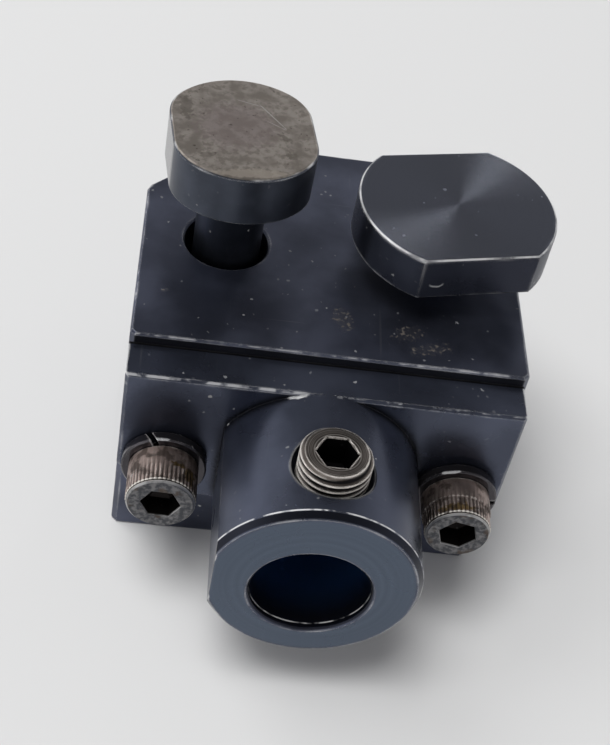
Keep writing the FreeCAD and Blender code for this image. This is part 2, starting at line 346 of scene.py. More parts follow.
gathered = sums(lint_tree, "MULTIPLY", lint_in["Share"], between(lint_tree, grain_noise(lint_tree, 120.0, 1.0), -1.0, 3.0))
chosen = sums(lint_tree, "LESS_THAN", chance.outputs["Red"], gathered)
reach = sums(lint_tree, "MULTIPLY", lint_in["Size"], sums(lint_tree, "POWER", chance.outputs["Green"], 2.0))
inside = sums(lint_tree, "LESS_THAN", cells.outputs["Distance"], reach)
speck = sums(lint_tree, "MULTIPLY", chosen, inside)
link(lint_tree, sums(lint_tree, "MULTIPLY", speck, between(lint_tree, chance.outputs["Blue"], 0.05, 0.95)), lint_out["Mask"])

# Turning marks: rings about an axis, and the distance from that axis
turning_tree, turning_in, turning_out = new_group(
    "turning marks",
    {"Centre X": 0.0, "Centre Y": 0.0, "Centre Z": 0.0, "Use Y": 1.0, "Use Z": 0.0, "Fineness": 1500.0},
    {"Radius": "Float", "Marks": "Float"},
)
turning_place = node(turning_tree, "ShaderNodeTexCoord")
turning_centre = node(turning_tree, "ShaderNodeCombineXYZ")
turning_use = node(turning_tree, "ShaderNodeCombineXYZ")
turning_use.inputs["X"].default_value = 1.0
for axis in "XYZ":
    link(turning_tree, turning_in["Centre " + axis], turning_centre.inputs[axis])
for axis in "YZ":
    link(turning_tree, turning_in["Use " + axis], turning_use.inputs[axis])
from_centre = node(turning_tree, "ShaderNodeVectorMath", operation="SUBTRACT")
link(turning_tree, turning_place.outputs["Object"], from_centre.inputs[0])
link(turning_tree, turning_centre.outputs["Vector"], from_centre.inputs[1])
across = node(turning_tree, "ShaderNodeVectorMath", operation="MULTIPLY")
link(turning_tree, from_centre.outputs["Vector"], across.inputs[0])
link(turning_tree, turning_use.outputs["Vector"], across.inputs[1])
radius_of = node(turning_tree, "ShaderNodeVectorMath", operation="LENGTH")
link(turning_tree, across.outputs["Vector"], radius_of.inputs[0])
rings = node(turning_tree, "ShaderNodeTexNoise", noise_dimensions="1D")
rings.inputs["Scale"].default_value = 1.0
rings.inputs["Detail"].default_value = 3.0
link(
    turning_tree,
    sums(turning_tree, "MULTIPLY", radius_of.outputs["Value"], turning_in["Fineness"]),
    rings.inputs["W"],
)
link(turning_tree, radius_of.outputs["Value"], turning_out["Radius"])
link(turning_tree, rings.outputs["Fac"], turning_out["Marks"])


def place_group(tree, group_tree, **values):
    """Puts a shared group in a material, with its own values."""
    made = node(tree, "ShaderNodeGroup", node_tree=group_tree)
    for entry, value in values.items():
        made.inputs[entry.replace("_", " ")].default_value = value
    return made


def steel(name, colour, roughness, wear=0.3, wear_width=0.00035, patches=260.0, mottling=0.25,
          lint=0.2, worn_colour=BRIGHT_STEEL, grain_depth=0.000004):
    """Steel in one finish, worn bright at its edges. Returns the material."""
    material = bpy.data.materials.new(name)
    material.use_nodes = True
    tree = material.node_tree
    shader = tree.nodes["Principled BSDF"]
    metal = place_group(tree, metal_tree)
    worn = place_group(tree, wear_and_shade_tree, Width=wear_width, Amount=wear, Patches=patches)
    flat = node(tree, "ShaderNodeNewGeometry")
    facing = node(tree, "ShaderNodeSeparateXYZ")
    link(tree, flat.outputs["Normal"], facing.inputs["Vector"])
    settled = between(tree, stretch(tree, facing.outputs["Z"], -0.1, 0.7), 0.3 * lint, lint)
    dust = place_group(tree, lint_tree)
    fine_dust = place_group(tree, lint_tree, Cells=1500.0, Size=0.34)
    link(tree, settled, dust.inputs["Share"])
    link(tree, sums(tree, "MULTIPLY", settled, 0.45), fine_dust.inputs["Share"])
    specks = sums(tree, "MAXIMUM", dust.outputs["Mask"], sums(tree, "MULTIPLY", fine_dust.outputs["Mask"], 0.7))
    tone = blend(tree, metal.outputs["Mottle"], shade(colour, 1 - mottling), shade(colour, 1 + mottling))
    tone = blend(tree, sums(tree, "MULTIPLY", metal.outputs["Scratches"], 0.05), tone, worn_colour)
    tone = blend(tree, worn.outputs["Mask"], tone, worn_colour)
    # Painted shade: inner corners darkened, standing also for dirt
    tone = blend(tree, worn.outputs["Shaded corner"], tone, CORNER_SHADE_AND_DIRT)
    tone = blend(tree, specks, tone, LINT_GREY)
    link(tree, tone, shader.inputs["Base Color"])
    sheen = between(tree, metal.outputs["Mottle"], roughness * 0.85, roughness * 1.15)
    sheen = between(tree, worn.outputs["Mask"], sheen, WORN_ROUGHNESS)
    link(tree, sheen, shader.inputs["Roughness"])
    scuffed = sums(tree, "MAXIMUM", sums(tree, "MULTIPLY", worn.outputs["Mask"], 0.7), specks)
    link(tree, between(tree, scuffed, 0.9, 0.0), shader.inputs["Metallic"])
    bump = node(tree, "ShaderNodeBump")
    bump.inputs["Strength"].default_value = 1.0
    bump.inputs["Distance"].default_value = grain_depth
    link(tree, metal.outputs["Grain"], bump.inputs["Height"])
    link(tree, worn.outputs["Rounded"], bump.inputs["Normal"])
    link(tree, bump.outputs["Normal"], shader.inputs["Normal"])
    return material


def lay_over(material, mask, colour, roughness=None, metallic=None):
    """Lays another finish over what a material has so far, where the mask is 1."""
    tree = material.node_tree
    shader = tree.nodes["Principled BSDF"]
    under = shader.inputs["Base Color"].links[0].from_socket
    link(tree, blend(tree, mask, under, colour), shader.inputs["Base Color"])
    for entry, value in (("Roughness", roughness), ("Metallic", metallic)):
        if value is not None:
            under = shader.inputs[entry].links[0].from_socket
            link(tree, between(tree, mask, under, value), shader.inputs[entry])


def along(material, axis, start, end):
    """A mask that goes from 0 to 1 between two places on an axis, in mm at rest."""
    tree = material.node_tree
    place = node(tree, "ShaderNodeTexCoord")
    parts = node(tree, "ShaderNodeSeparateXYZ")
    link(tree, place.outputs["Object"], parts.inputs["Vector"])
    return stretch(tree, parts.outputs[axis], start * MM, end * MM)


def both(material, first, second):
    return sums(material.node_tree, "MULTIPLY", first, second)


def bright_line(material, bands, least=0.36, share=1.0):
    """Rubs an edge white inside bands, each an axis and two places in mm, with gaps in the line."""
    tree = material.node_tree
    mask = stretch(tree, grain_noise(tree, 520.0, 6.0), least, least + 0.14)
    for axis, start, end in bands:
        mask = both(material, mask, along(material, axis, start, end))
    lay_over(material, both(material, mask, share), BRIGHT_STEEL, 0.5, 0.25)


def spot(material, centre, size, turn=(0, 0, 0), ragged=0.5):
    """A mask for one mark on the surface: an ellipsoid, in mm and degrees, with a ragged rim."""
    tree = material.node_tree
    place = node(tree, "ShaderNodeTexCoord")
    mapping = node(tree, "ShaderNodeMapping", vector_type="TEXTURE")
    mapping.inputs["Location"].default_value = [part * MM for part in centre]
    mapping.inputs["Rotation"].default_value = [math.radians(angle) for angle in turn]
    mapping.inputs["Scale"].default_value = [part * MM for part in size]
    link(tree, place.outputs["Object"], mapping.inputs["Vector"])
    length = node(tree, "ShaderNodeVectorMath", operation="LENGTH")
    link(tree, mapping.outputs["Vector"], length.inputs[0])
    rim = between(tree, grain_noise(tree, 1800.0, 2.0), -ragged, ragged)
    from_rim = sums(tree, "SUBTRACT", sums(tree, "SUBTRACT", 1.0, length.outputs["Value"]), rim)
    return stretch(tree, from_rim, 0.0, 0.35)


def finish_node(name, material):
    """Gives a carried-over CAD node its material."""
    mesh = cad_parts[name].data
    mesh.materials.clear()
    mesh.materials.append(material)


block_steel = steel("blackened block steel", BLACK_STEEL, 0.36, wear=0.37, mottling=0.22, lint=0.26)
# Painted shade: the strip of its front face just above the plate's top is darkened
shaded_strip = both(block_steel, along(block_steel, "Y", -20.74, -20.84), along(block_steel, "Z", 36.5, 37.5))
shaded_strip = both(block_steel, shaded_strip, along(block_steel, "Z", 39.16, 39.00))
lay_over(block_steel, sums(block_steel.node_tree, "MULTIPLY", shaded_strip, 0.8), CORNER_SHADE_AND_DIRT, 0.6)
bright_line(block_steel, (("Z", 39.20, 39.26), ("Y", -20.62, -20.68)), 0.44, 0.5)
bright_line(block_steel, (("Z", 39.20, 39.26), ("X", -26.75, -26.82)), 0.50, 0.6)
# Brownish dust has gathered in the middle and on the right of the top, in small heaps
block_tree = block_steel.node_tree
heaps = stretch(block_tree, grain_noise(block_tree, 1500.0, 3.0), 0.52, 0.66)
for centre, size in DUST_HEAPS:
    heap = spot(block_steel, centre, size, (0, 0, 20), 0.8)
    lay_over(block_steel, sums(block_tree, "MULTIPLY", heap, 0.10), DUST_BROWN, 0.7)
    lay_over(block_steel, sums(block_tree, "MULTIPLY", heap, heaps), DUST_BROWN, 0.7)
finish_node("block", block_steel)


# Front holder
# Plate and round boss in one piece, turned and milled from the same steel as the block and
# blackened with it. Its bore takes the tool's shank, and its front edges are worn.
HOLDER_BLACK = (0.080, 0.090, 0.126, 1)
RIM_SHADE_BLACK = (0.022, 0.024, 0.034, 1)
OIL_AND_SHADE_BLACK = (0.018, 0.020, 0.032, 1)
BORE_GLOW_BLUE = (0.040, 0.125, 0.310, 1)
FACE_SLATE = (0.072, 0.091, 0.124, 1)
BURR_AND_HIGHLIGHT_WHITE = (0.85, 0.85, 0.85, 1)
BOSS_END_Y = -47.2
BOSS_AXIS = (-0.25, 0.0, 23.5)
BORE_AXIS = (-0.25, 0.0, 22.1)


def turned_about(material, centre, axis, fineness=1500.0):
    """The turning marks' group about an axis along Y or Z."""
    tree = material.node_tree
    x, y, z = [part * MM for part in centre]
    values = {"Centre_X": x, "Centre_Y": y, "Centre_Z": z, "Fineness": fineness}
    values["Use_Y"] = 1.0 if axis == "Z" else 0.0
    values["Use_Z"] = 1.0 if axis == "Y" else 0.0
    return place_group(tree, turning_tree, **values)


holder_steel = steel("blackened holder steel", HOLDER_BLACK, 0.29, wear=0.38, mottling=0.18, lint=0.26)
holder_tree = holder_steel.node_tree
# The boss's end face is turned and wiped clean, and the rim band behind it is darkened as painted shade
boss_rings = turned_about(holder_steel, BOSS_AXIS, "Y")
on_the_end = along(holder_steel, "Y", BOSS_END_Y + 0.06, BOSS_END_Y + 0.02)
inside_the_rim = stretch(holder_tree, boss_rings.outputs["Radius"], 13.45 * MM, 13.25 * MM)
bore_rings = turned_about(holder_steel, BORE_AXIS, "Y")
outside_the_mouth = stretch(holder_tree, bore_rings.outputs["Radius"], 8.45 * MM, 8.6 * MM)
clean_face = both(holder_steel, both(holder_steel, on_the_end, inside_the_rim), outside_the_mouth)
face_tone = blend(
    holder_tree, boss_rings.outputs["Marks"], shade(FACE_SLATE, 1.02), shade(FACE_SLATE, 1.30))
lay_over(holder_steel, clean_face, face_tone)
rim = both(
    holder_steel,
    along(holder_steel, "Y", BOSS_END_Y + 1.00, BOSS_END_Y + 0.88),
    along(holder_steel, "Y", BOSS_END_Y + 0.12, BOSS_END_Y + 0.24),
)
lay_over(holder_steel, rim, RIM_SHADE_BLACK)
# Painted shade and light in the bore: darkened all through, and tinted blue deeper in as painted blue light
in_the_bore = stretch(holder_tree, bore_rings.outputs["Radius"], 8.02 * MM, 7.98 * MM)
lay_over(holder_steel, in_the_bore, OIL_AND_SHADE_BLACK, 0.4)
lay_over(holder_steel, both(holder_steel, in_the_bore, along(holder_steel, "Y", -45.4, -38.5)), BORE_GLOW_BLUE, 0.5)
# The plate is darkened round the screws, most of all round the left one: painted shade, with oil
for centre, size in (((-20.0, -27.0, 30.0), (8.5, 3.0, 9.5)), ((19.6, -27.0, 24.0), (7.2, 2.0, 7.6))):
    oily_shade = spot(holder_steel, centre, size, (0, 0, 0), 0.08)
    lay_over(holder_steel, sums(holder_tree, "MULTIPLY", oily_shade, 0.6), OIL_AND_SHADE_BLACK)
# The edge before the rim band is rubbed white, and the joint behind the plate is dirty
bright_line(holder_steel, (("Y", BOSS_END_Y + 0.96, BOSS_END_Y + 1.00), ("Y", BOSS_END_Y + 1.22, BOSS_END_Y + 1.14)), 0.38, 0.85)
bright_line(holder_steel, (("Z", 37.60, 37.66), ("Y", -26.60, -26.66), ("Y", -27.04, -26.98), ("X", 0.0, -5.0)), 0.36, 0.6)
bright_line(holder_steel, (("Z", 37.70, 37.76), ("Y", -26.60, -26.66), ("Y", -27.04, -26.98), ("X", -1.0, 3.0)), 0.50, 0.6)
lay_over(holder_steel, along(holder_steel, "Y", -21.45, -21.25), CORNER_SHADE_AND_DIRT, 0.6)
# Painted shade and dirt in the mouth of the set screw's hole
screw_mouth = turned_about(holder_steel, (0.35, -38.6, 0.0), "Z")
around_the_screw = stretch(holder_tree, screw_mouth.outputs["Radius"], 5.72 * MM, 5.60 * MM)
around_the_screw = both(holder_steel, around_the_screw, along(holder_steel, "Z", 30.2, 31.0))
lay_over(holder_steel, sums(holder_tree, "MULTIPLY", around_the_screw, 0.8), CORNER_SHADE_AND_DIRT, 0.6)
# A bright mark where the boss meets the plate's top edge: a burr, and a painted highlight of that edge
burr_highlight = spot(holder_steel, (-4.55, -27.0, 37.15), (1.7, 0.45, 0.30), (0, -20, 0), 0.5)
lay_over(holder_steel, burr_highlight, BURR_AND_HIGHLIGHT_WHITE, 0.5)
finish_node("bar_holder", holder_steel)


# Spring washers
# Split rings of square spring wire, oiled black, flat under the cap screws' heads.
OILED_EDGE = (0.26, 0.25, 0.25, 1)
washer_steel = steel(
    "oiled black spring steel", (0.066, 0.062, 0.068, 1), 0.17, wear=0.02, wear_width=0.0003, lint=0.10,
    worn_colour=OILED_EDGE)
for glint_place, tilt in (((-21.5, -28.45, 27.75), -8), ((18.2, -28.45, 27.45), -18)):
    glint = spot(washer_steel, glint_place, (1.8, 0.30, 0.22), (0, tilt, 0), 0.6)
    lay_over(washer_steel, sums(washer_steel.node_tree, "MULTIPLY", glint, 0.7), BRIGHT_STEEL, 0.3, 0.6)
for washer in ("spring_washer_left", "spring_washer_right"):
    finish_node(washer, washer_steel)


# Set screw
# A hexagon socket set screw, turned and threaded, its black worn to brownish bare steel.
# It is backed out, so that its upper turns of thread stand proud of the boss.
SCREW_BROWN = (0.140, 0.120, 0.106, 1)
CREST_STEEL = (0.82, 0.775, 0.72, 1)
GROOVE_SHADE_AND_DIRT = (0.012, 0.011, 0.012, 1)
SET_SCREW_RADIUS = 4.7625
SET_SCREW_LENGTH = 9.525
SET_SCREW_PITCH = 1.058
SET_SCREW_CHAMFER = 0.65
SET_SCREW_CUP = 2.4
SOCKET_FLATS = 4.7625
SCREW_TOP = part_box("set_screw")[1][2] / MM
IN_THE_SOCKET = 1.0                  # how deep its walls count as lying, in mm, for the painted shade and dirt


def thread_radius(height, angle, major, pitch):
    """The radius of a right-handed thread's surface at a height and an angle."""
    crest_share = 0.16
    root_share = 0.16
    depth = 0.56 * pitch
    turn = (height / pitch - angle / (2 * math.pi)) % 1
    from_root = abs(turn - 0.5) * 2
    flank = (from_root - root_share) / (1 - root_share - crest_share)
    return major - depth * (1 - min(max(flank, 0), 1))


def threaded_rows(low, high, major, pitch, angles, rows_in_a_pitch=12):
    """Rows of a thread from low to high, in mm, with how deep each point lies in its groove."""
    count = max(2, round((high - low) / pitch * rows_in_a_pitch))
    rows = []
    for step in range(count + 1):
        height = low + (high - low) * step / count
        radii = [thread_radius(height, angle, major, pitch) for angle in angles]
        rows.append((height, radii, [major - radius for radius in radii]))
    return rows


def hex_radii(flats, angles, turn):
    """A hexagon's outline in polar form: one radius for each angle."""
    sector = math.pi / 3
    radii = []
    for angle in angles:
        from_corner = (angle - turn) % sector
        radii.append(flats / 2 / math.cos(from_corner - sector / 2))
    return radii


def even_angles(count, turn=0.0):
    return [turn + 2 * math.pi * step / count for step in range(count)]


def at(values, index):
    """One of a row's values: its own for each angle, or the same all round."""
    return values[index] if isinstance(values, list) else values


def polar_piece(name, rows, angles, place):
    """A closed mesh of rows, in mm, set in place by a matrix in metres.

    A row is its height, its radius or radii by angle, and how deep it lies in a groove."""
    count = len(angles)
    points = []
    depths = []
    for height, radii, groove in rows:
        for index, angle in enumerate(angles):
            radius = at(radii, index)
            points.append(Vector((radius * math.cos(angle), radius * math.sin(angle), height)) * MM)
            depths.append(at(groove, index))
    faces = []
    for row in range(len(rows) - 1):
        low = row * count
        high = low + count
        for index in range(count):
            following = (index + 1) % count
            faces.append((low + index, low + following, high + following, high + index))
    last = (len(rows) - 1) * count
    for end in (rows[0], rows[-1]):
        points.append(Vector((0, 0, end[0])) * MM)
        depths.append(at(end[2], 0))
    for index in range(count):
        following = (index + 1) % count
        faces.append((len(points) - 2, following, index))
        faces.append((last + index, last + following, len(points) - 1))
    mesh = bpy.data.meshes.new(name)
    mesh.from_pydata([place @ point for point in points], [], faces)
    groove_depth = mesh.attributes.new("groove_depth", "FLOAT", "POINT")
    groove_depth.data.foreach_set("value", depths)
    mesh.shade_smooth()
    mesh.set_sharp_from_angle(angle=math.radians(28))
    piece = bpy.data.objects.new(name, mesh)
    scene.collection.objects.link(piece)
    return piece


def socket_rows(flats, depth, top, angles, turn):
    """A hexagon socket with a broken edge and a drilled bottom, from the face down."""
    edge_break = 0.14
    drill_tip = 1.4
    walls = hex_radii(flats, angles, turn)
    return [
        (top, [radius + edge_break for radius in walls], 0),
        (top - edge_break, walls, 0),
        (top - edge_break * 2, walls, IN_THE_SOCKET),
        (top - depth, walls, IN_THE_SOCKET),
        (top - depth - drill_tip, 0.05, IN_THE_SOCKET),
    ]


def groove_shade_and_dirt(material, low, high, colour=GROOVE_SHADE_AND_DIRT, roughness=0.5):
    """Painted shade and dirt, dark in a piece's grooves and socket, from low to high mm under its crests."""
    tree = material.node_tree
    depth = node(tree, "ShaderNodeAttribute", attribute_name="groove_depth")
    dirt = stretch(tree, depth.outputs["Fac"], low, high)
    lay_over(material, dirt, colour, roughness)


low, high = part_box("set_screw")
set_screw_place = Matrix.Translation(((low[0] + high[0]) / 2, (low[1] + high[1]) / 2, high[2]))
angles = even_angles(144)
rows = [
    (-SET_SCREW_LENGTH + 1.0, 0.05, 0),
    (-SET_SCREW_LENGTH, SET_SCREW_CUP, 0),
    (-SET_SCREW_LENGTH, SET_SCREW_RADIUS - 0.75, 0),
]
rows += threaded_rows(-SET_SCREW_LENGTH + 0.4, -SET_SCREW_CHAMFER, SET_SCREW_RADIUS, SET_SCREW_PITCH, angles)
rows += [(0, SET_SCREW_RADIUS - SET_SCREW_CHAMFER, 0)]
rows += socket_rows(SOCKET_FLATS, 4.6, 0, angles, 0)
set_screw = polar_piece("set_screw_piece", rows, angles, set_screw_place)
set_screw_steel = steel(
    "worn set screw steel", SCREW_BROWN, 0.32, wear=0.30, wear_width=0.0004, patches=620.0, mottling=0.6,
    lint=0.05, worn_colour=CREST_STEEL)
set_screw_tree = set_screw_steel.node_tree
screw_rings = turned_about(set_screw_steel, (0.35, -38.6, 0.0), "Z", 5200.0)
ring_share = both(
    set_screw_steel,
    along(set_screw_steel, "Z", SCREW_TOP - 0.5, SCREW_TOP - 0.2),
    stretch(set_screw_tree, screw_rings.outputs["Marks"], 0.48, 0.66),
)
lay_over(set_screw_steel, sums(set_screw_tree, "MULTIPLY", ring_share, 0.35), CREST_STEEL)
# Painted shade and dirt in the thread's grooves and the socket
groove_shade_and_dirt(set_screw_steel, 0.27, 0.52)
set_screw.data.materials.append(set_screw_steel)
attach(set_screw, "lock_screw")
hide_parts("set_screw")


# Cap screws
# Socket head cap screws with knurled heads. Their black has turned brown in the knurl and
# greasy dirt has settled on it, while the ring round the socket is rubbed grey.
HEAD_RADIUS = 4.7625
HEAD_HEIGHT = 6.35
SCREW_RADIUS = 3.175
SCREW_LENGTH = 19.05
SCREW_PITCH = 1.27
KNURL_TEETH = 48
KNURL_DEPTH = 0.14
KNURL_STEPS = 4
KNURL_BROWN = (0.34, 0.268, 0.24, 1)
FACE_GREY = (0.058, 0.060, 0.067, 1)
FACE_WORN = (0.172, 0.169, 0.172, 1)
FACE_BROWN = (0.075, 0.052, 0.036, 1)
GREASE_GOLD = (0.20, 0.135, 0.06, 1)
CRUST_BROWN = (0.045, 0.034, 0.028, 1)
FACE_RIM = (0.42, 0.415, 0.41, 1)
TOOTH_STEEL = (0.72, 0.68, 0.62, 1)


def knurled(radius, share):
    """The radii of a knurled ring whose teeth stand up by a share of their full depth."""
    radii = []
    for step in range(KNURL_TEETH * KNURL_STEPS):
        from_crest = 1 - abs((step % KNURL_STEPS) - KNURL_STEPS / 2) / (KNURL_STEPS / 2)
        radii.append(radius - KNURL_DEPTH * share * from_crest)
    return radii


def knurl_row(height, radius, share):
    radii = knurled(radius, share)
    return (height, radii, [radius - part for part in radii])


def cap_screw(name, place, turn, front_step):
    """A cap screw along its own Z: seat at 0, head up, shank down."""
    angles = even_angles(KNURL_TEETH * KNURL_STEPS, turn)
    front = HEAD_RADIUS - front_step
    rows = [(-SCREW_LENGTH, SCREW_RADIUS - 0.7, 0)]
    rows += threaded_rows(-SCREW_LENGTH + 0.5, -1.6, SCREW_RADIUS, SCREW_PITCH, angles, 10)
    rows += [
        (-1.2, SCREW_RADIUS, 0),
        (-0.01, SCREW_RADIUS, 0),
        (0, HEAD_RADIUS - 0.15, 0),
        (0.15, HEAD_RADIUS, 0),
        knurl_row(0.7, HEAD_RADIUS, 0.15),
        knurl_row(HEAD_HEIGHT * 0.5, HEAD_RADIUS, 0.8),
        knurl_row(HEAD_HEIGHT * 0.5 + front_step, front, 0.8),
        knurl_row(HEAD_HEIGHT - 0.62, front, 1),
        (HEAD_HEIGHT - 0.48, front - 0.2, 0.2),
        (HEAD_HEIGHT - 0.3, front - 0.12, 0),
        (HEAD_HEIGHT, front - 0.42, 0),
    ]
    rows += socket_rows(SOCKET_FLATS, 3.2, HEAD_HEIGHT, angles, turn)
    return polar_piece(name, rows, angles, place)


def cap_screw_finish(name, seat, grease):
    """Brown knurl, rubbed grey face, painted shade and dirt in the socket and knurl, and grease in the given places.
    """
    material = steel(
        name, KNURL_BROWN, 0.42, wear=0.36, wear_width=0.0003, patches=1200.0, mottling=0.55, lint=0.5,
        worn_colour=CREST_STEEL, grain_depth=0.000012)
    tree = material.node_tree
    front = seat.y / MM - HEAD_HEIGHT
    on_the_face = along(material, "Y", front + 0.4, front + 0.2)
    scuffed = stretch(tree, grain_noise(tree, 1400.0, 8.0), 0.40, 0.64)
    rusty = stretch(tree, grain_noise(tree, 520.0, 4.0), 0.55, 0.68)
    face_tone = blend(tree, sums(tree, "MULTIPLY", rusty, 0.7), blend(tree, scuffed, FACE_GREY, FACE_WORN), FACE_BROWN)
    lay_over(material, on_the_face, face_tone, 0.40)
    for centre, size in grease:
        lay_over(material, spot(material, centre, size, ragged=0.9), GREASE_GOLD, 0.3)
    crust = stretch(tree, grain_noise(tree, 620.0, 5.0), 0.47, 0.60)
    in_front = along(material, "Y", front + 0.2, front + 0.5)
    lay_over(material, sums(tree, "MULTIPLY", both(material, crust, in_front), 0.7), CRUST_BROWN, 0.7)
    # Painted shade and dirt in the knurl's valleys and the socket
    groove_shade_and_dirt(material, 0.05, 0.15, (0.02, 0.017, 0.016, 1))
    depth = node(tree, "ShaderNodeAttribute", attribute_name="groove_depth")
    tooth_ends = both(material, along(material, "Y", front + 0.49, front + 0.54), along(material, "Y", front + 0.82, front + 0.68))
    tooth_ends = both(material, tooth_ends, stretch(tree, depth.outputs["Fac"], 0.15, 0.11))
    tooth_ends = both(material, tooth_ends, stretch(tree, grain_noise(tree, 420.0, 3.0), 0.32, 0.48))
    lay_over(material, tooth_ends, TOOTH_STEEL, 0.35, 0.6)
    rim = both(material, along(material, "Y", front + 0.34, front + 0.28), along(material, "Y", front + 0.02, front + 0.09))
    lay_over(material, both(material, rim, stretch(tree, grain_noise(tree, 380.0, 4.0), 0.28, 0.52)), FACE_RIM, 0.4)
    return material


GREASE_PLACES = {
    "left": [((-17.0, -32.5, 25.2), (1.1, 1.6, 1.1)), ((-18.6, -31.4, 26.3), (1.5, 0.5, 0.8))],
    "right": [((19.4, -33.6, 26.2), (2.4, 0.9, 1.0)), ((17.6, -33.6, 25.0), (1.1, 0.8, 1.2))],
}
for side_name, turn, front_step in (("left", -2.0, 0.0), ("right", 47.0, 0.2)):
    low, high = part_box("cap_screw_" + side_name)
    seat = Vector(((low[0] + high[0]) / 2, low[1] + HEAD_HEIGHT * MM, (low[2] + high[2]) / 2))
    place = Matrix.Translation(seat) @ Matrix.Rotation(math.radians(90), 4, "X")
    screw = cap_screw("cap_screw_piece_" + side_name, place, math.radians(turn), front_step)
    finish = cap_screw_finish(side_name + " cap screw steel, brown in the knurl", seat, GREASE_PLACES[side_name])
    screw.data.materials.append(finish)
    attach(screw, side_name + "_screw")
    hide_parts("cap_screw_" + side_name)


# T-bolts
# Turned T-bolts with two flats milled on each head, standing in the block's clearance holes.
# The left one's top is ground and stained; the right one is turned all over and blackened.
BOLT_RADIUS = 4.7625
BOLT_PITCH = 1.5875
BOLT_THREAD_LENGTH = 26.0
NECK_FILLET = 0.5
SEAT_GAP = 0.02                      # keeps a head that is let down from touching the block
BLUED_STEEL = (0.060, 0.068, 0.088, 1)
GROUND_STEEL = (0.390, 0.350, 0.310, 1)
STAIN_BROWN = (0.150, 0.130, 0.108, 1)
STAIN_MAUVE = (0.270, 0.218, 0.212, 1)
PIT_BROWN = (0.075, 0.058, 0.045, 1)
RIM_TAN = (0.50, 0.44, 0.37, 1)
FLAT_GREY = (0.150, 0.146, 0.156, 1)
SCRATCH_GREY = (0.62, 0.60, 0.57, 1)
# Marks on the left head's top: place and half size in mm, turn in degrees, raggedness, share, colour
TOP_MARKS = (
    ((-11.4, 3.6), (3.6, 0.11), -52, 0.5, 0.60, SCRATCH_GREY),
    ((-10.7, 1.6), (1.8, 0.09), -30, 0.5, 0.45, SCRATCH_GREY),
    ((-14.6, 5.9), (2.6, 0.09), -14, 0.5, 0.40, SCRATCH_GREY),
    ((-9.4, -1.0), (1.3, 0.45), -35, 0.9, 0.60, STAIN_BROWN),
    ((-23.0, 3.4), (1.0, 3.0), 8, 0.9, 0.60, STAIN_BROWN),
    ((-8.6, -4.6), (1.0, 0.8), 0, 0.9, 0.55, STAIN_BROWN),
    ((-19.6, -6.4), (1.3, 0.6), 20, 0.9, 0.50, STAIN_BROWN),
    ((-13.5, -9.2), (6.0, 1.0), 8, 0.6, 0.55, RIM_TAN),
)
TURNED_STEEL = (0.046, 0.051, 0.070, 1)
TURNED_TOP = (0.092, 0.099, 0.123, 1)


def flatted(radius, half_flats, corner_round, angles, turn):
    """The outline, in polar form, of a round head with two flats and its corners rounded."""
    across = half_flats - corner_round
    along = math.sqrt((radius - corner_round) ** 2 - across ** 2)
    flat_end = math.atan2(along, half_flats)
    round_start = math.atan2(along, across)
    radii = []
    for angle in angles:
        from_flat = abs((angle - turn + math.pi / 2) % math.pi - math.pi / 2)
        if from_flat <= flat_end:
            radii.append(half_flats / math.cos(from_flat))
        elif from_flat >= round_start:
            radii.append(radius)
        else:
            towards = across * math.cos(from_flat) + along * math.sin(from_flat)
            aside = across * math.sin(from_flat) - along * math.cos(from_flat)
            radii.append(towards + math.sqrt(corner_round ** 2 - aside ** 2))
    return radii


def t_bolt(name, place, length, radius, half_flats, corner_round, thickness, turn):
    """A T-bolt standing on its threaded end at 0."""
    chamfer = 0.3
    corner = math.acos(half_flats / radius)
    angles = even_angles(180)
    angles += [turn + side * corner + half * math.pi for side in (-1, 1) for half in (0, 1)]
    angles = sorted(angle % (2 * math.pi) for angle in angles)
    top = length + thickness
    outline = flatted(radius, half_flats, corner_round, angles, turn)
    inner_round = max(corner_round - chamfer, 0)
    broken = flatted(radius - chamfer, half_flats - chamfer, inner_round, angles, turn)
    rows = [(0, BOLT_RADIUS - 0.9, 0)]
    rows += threaded_rows(0.7, BOLT_THREAD_LENGTH, BOLT_RADIUS, BOLT_PITCH, angles, 10)
    rows += [
        (BOLT_THREAD_LENGTH + 0.8, BOLT_RADIUS, 0),
        (length - NECK_FILLET, BOLT_RADIUS, 0),
        (length - 0.15, BOLT_RADIUS + 0.15, 0),
        (length + SEAT_GAP, BOLT_RADIUS + NECK_FILLET, 0),
        (length + SEAT_GAP, broken, 0),
        (length + chamfer, outline, 0),
        (top - chamfer, outline, 0),
        (top, broken, 0),
    ]
    for share in (0.8, 0.6, 0.4, 0.2):
        rows.append((top, [reach * share for reach in broken], 0))
    return polar_piece(name, rows, angles, place)


def on_a_flat(material, axis_place, angle, half_flats):
    """A mask for one of a head's flats: its distance from the bolt's axis, in mm, and its angle."""
    tree = material.node_tree
    facing = Vector((math.cos(math.radians(angle)), math.sin(math.radians(angle)), 0))
    place = node(tree, "ShaderNodeTexCoord")
    outward = node(tree, "ShaderNodeVectorMath", operation="DOT_PRODUCT")
    link(tree, place.outputs["Object"], outward.inputs[0])
    outward.inputs[1].default_value = facing
    plane = facing.dot(Vector(axis_place + (0,))) + half_flats
    return stretch(tree, outward.outputs["Value"], (plane - 0.10) * MM, (plane - 0.03) * MM)


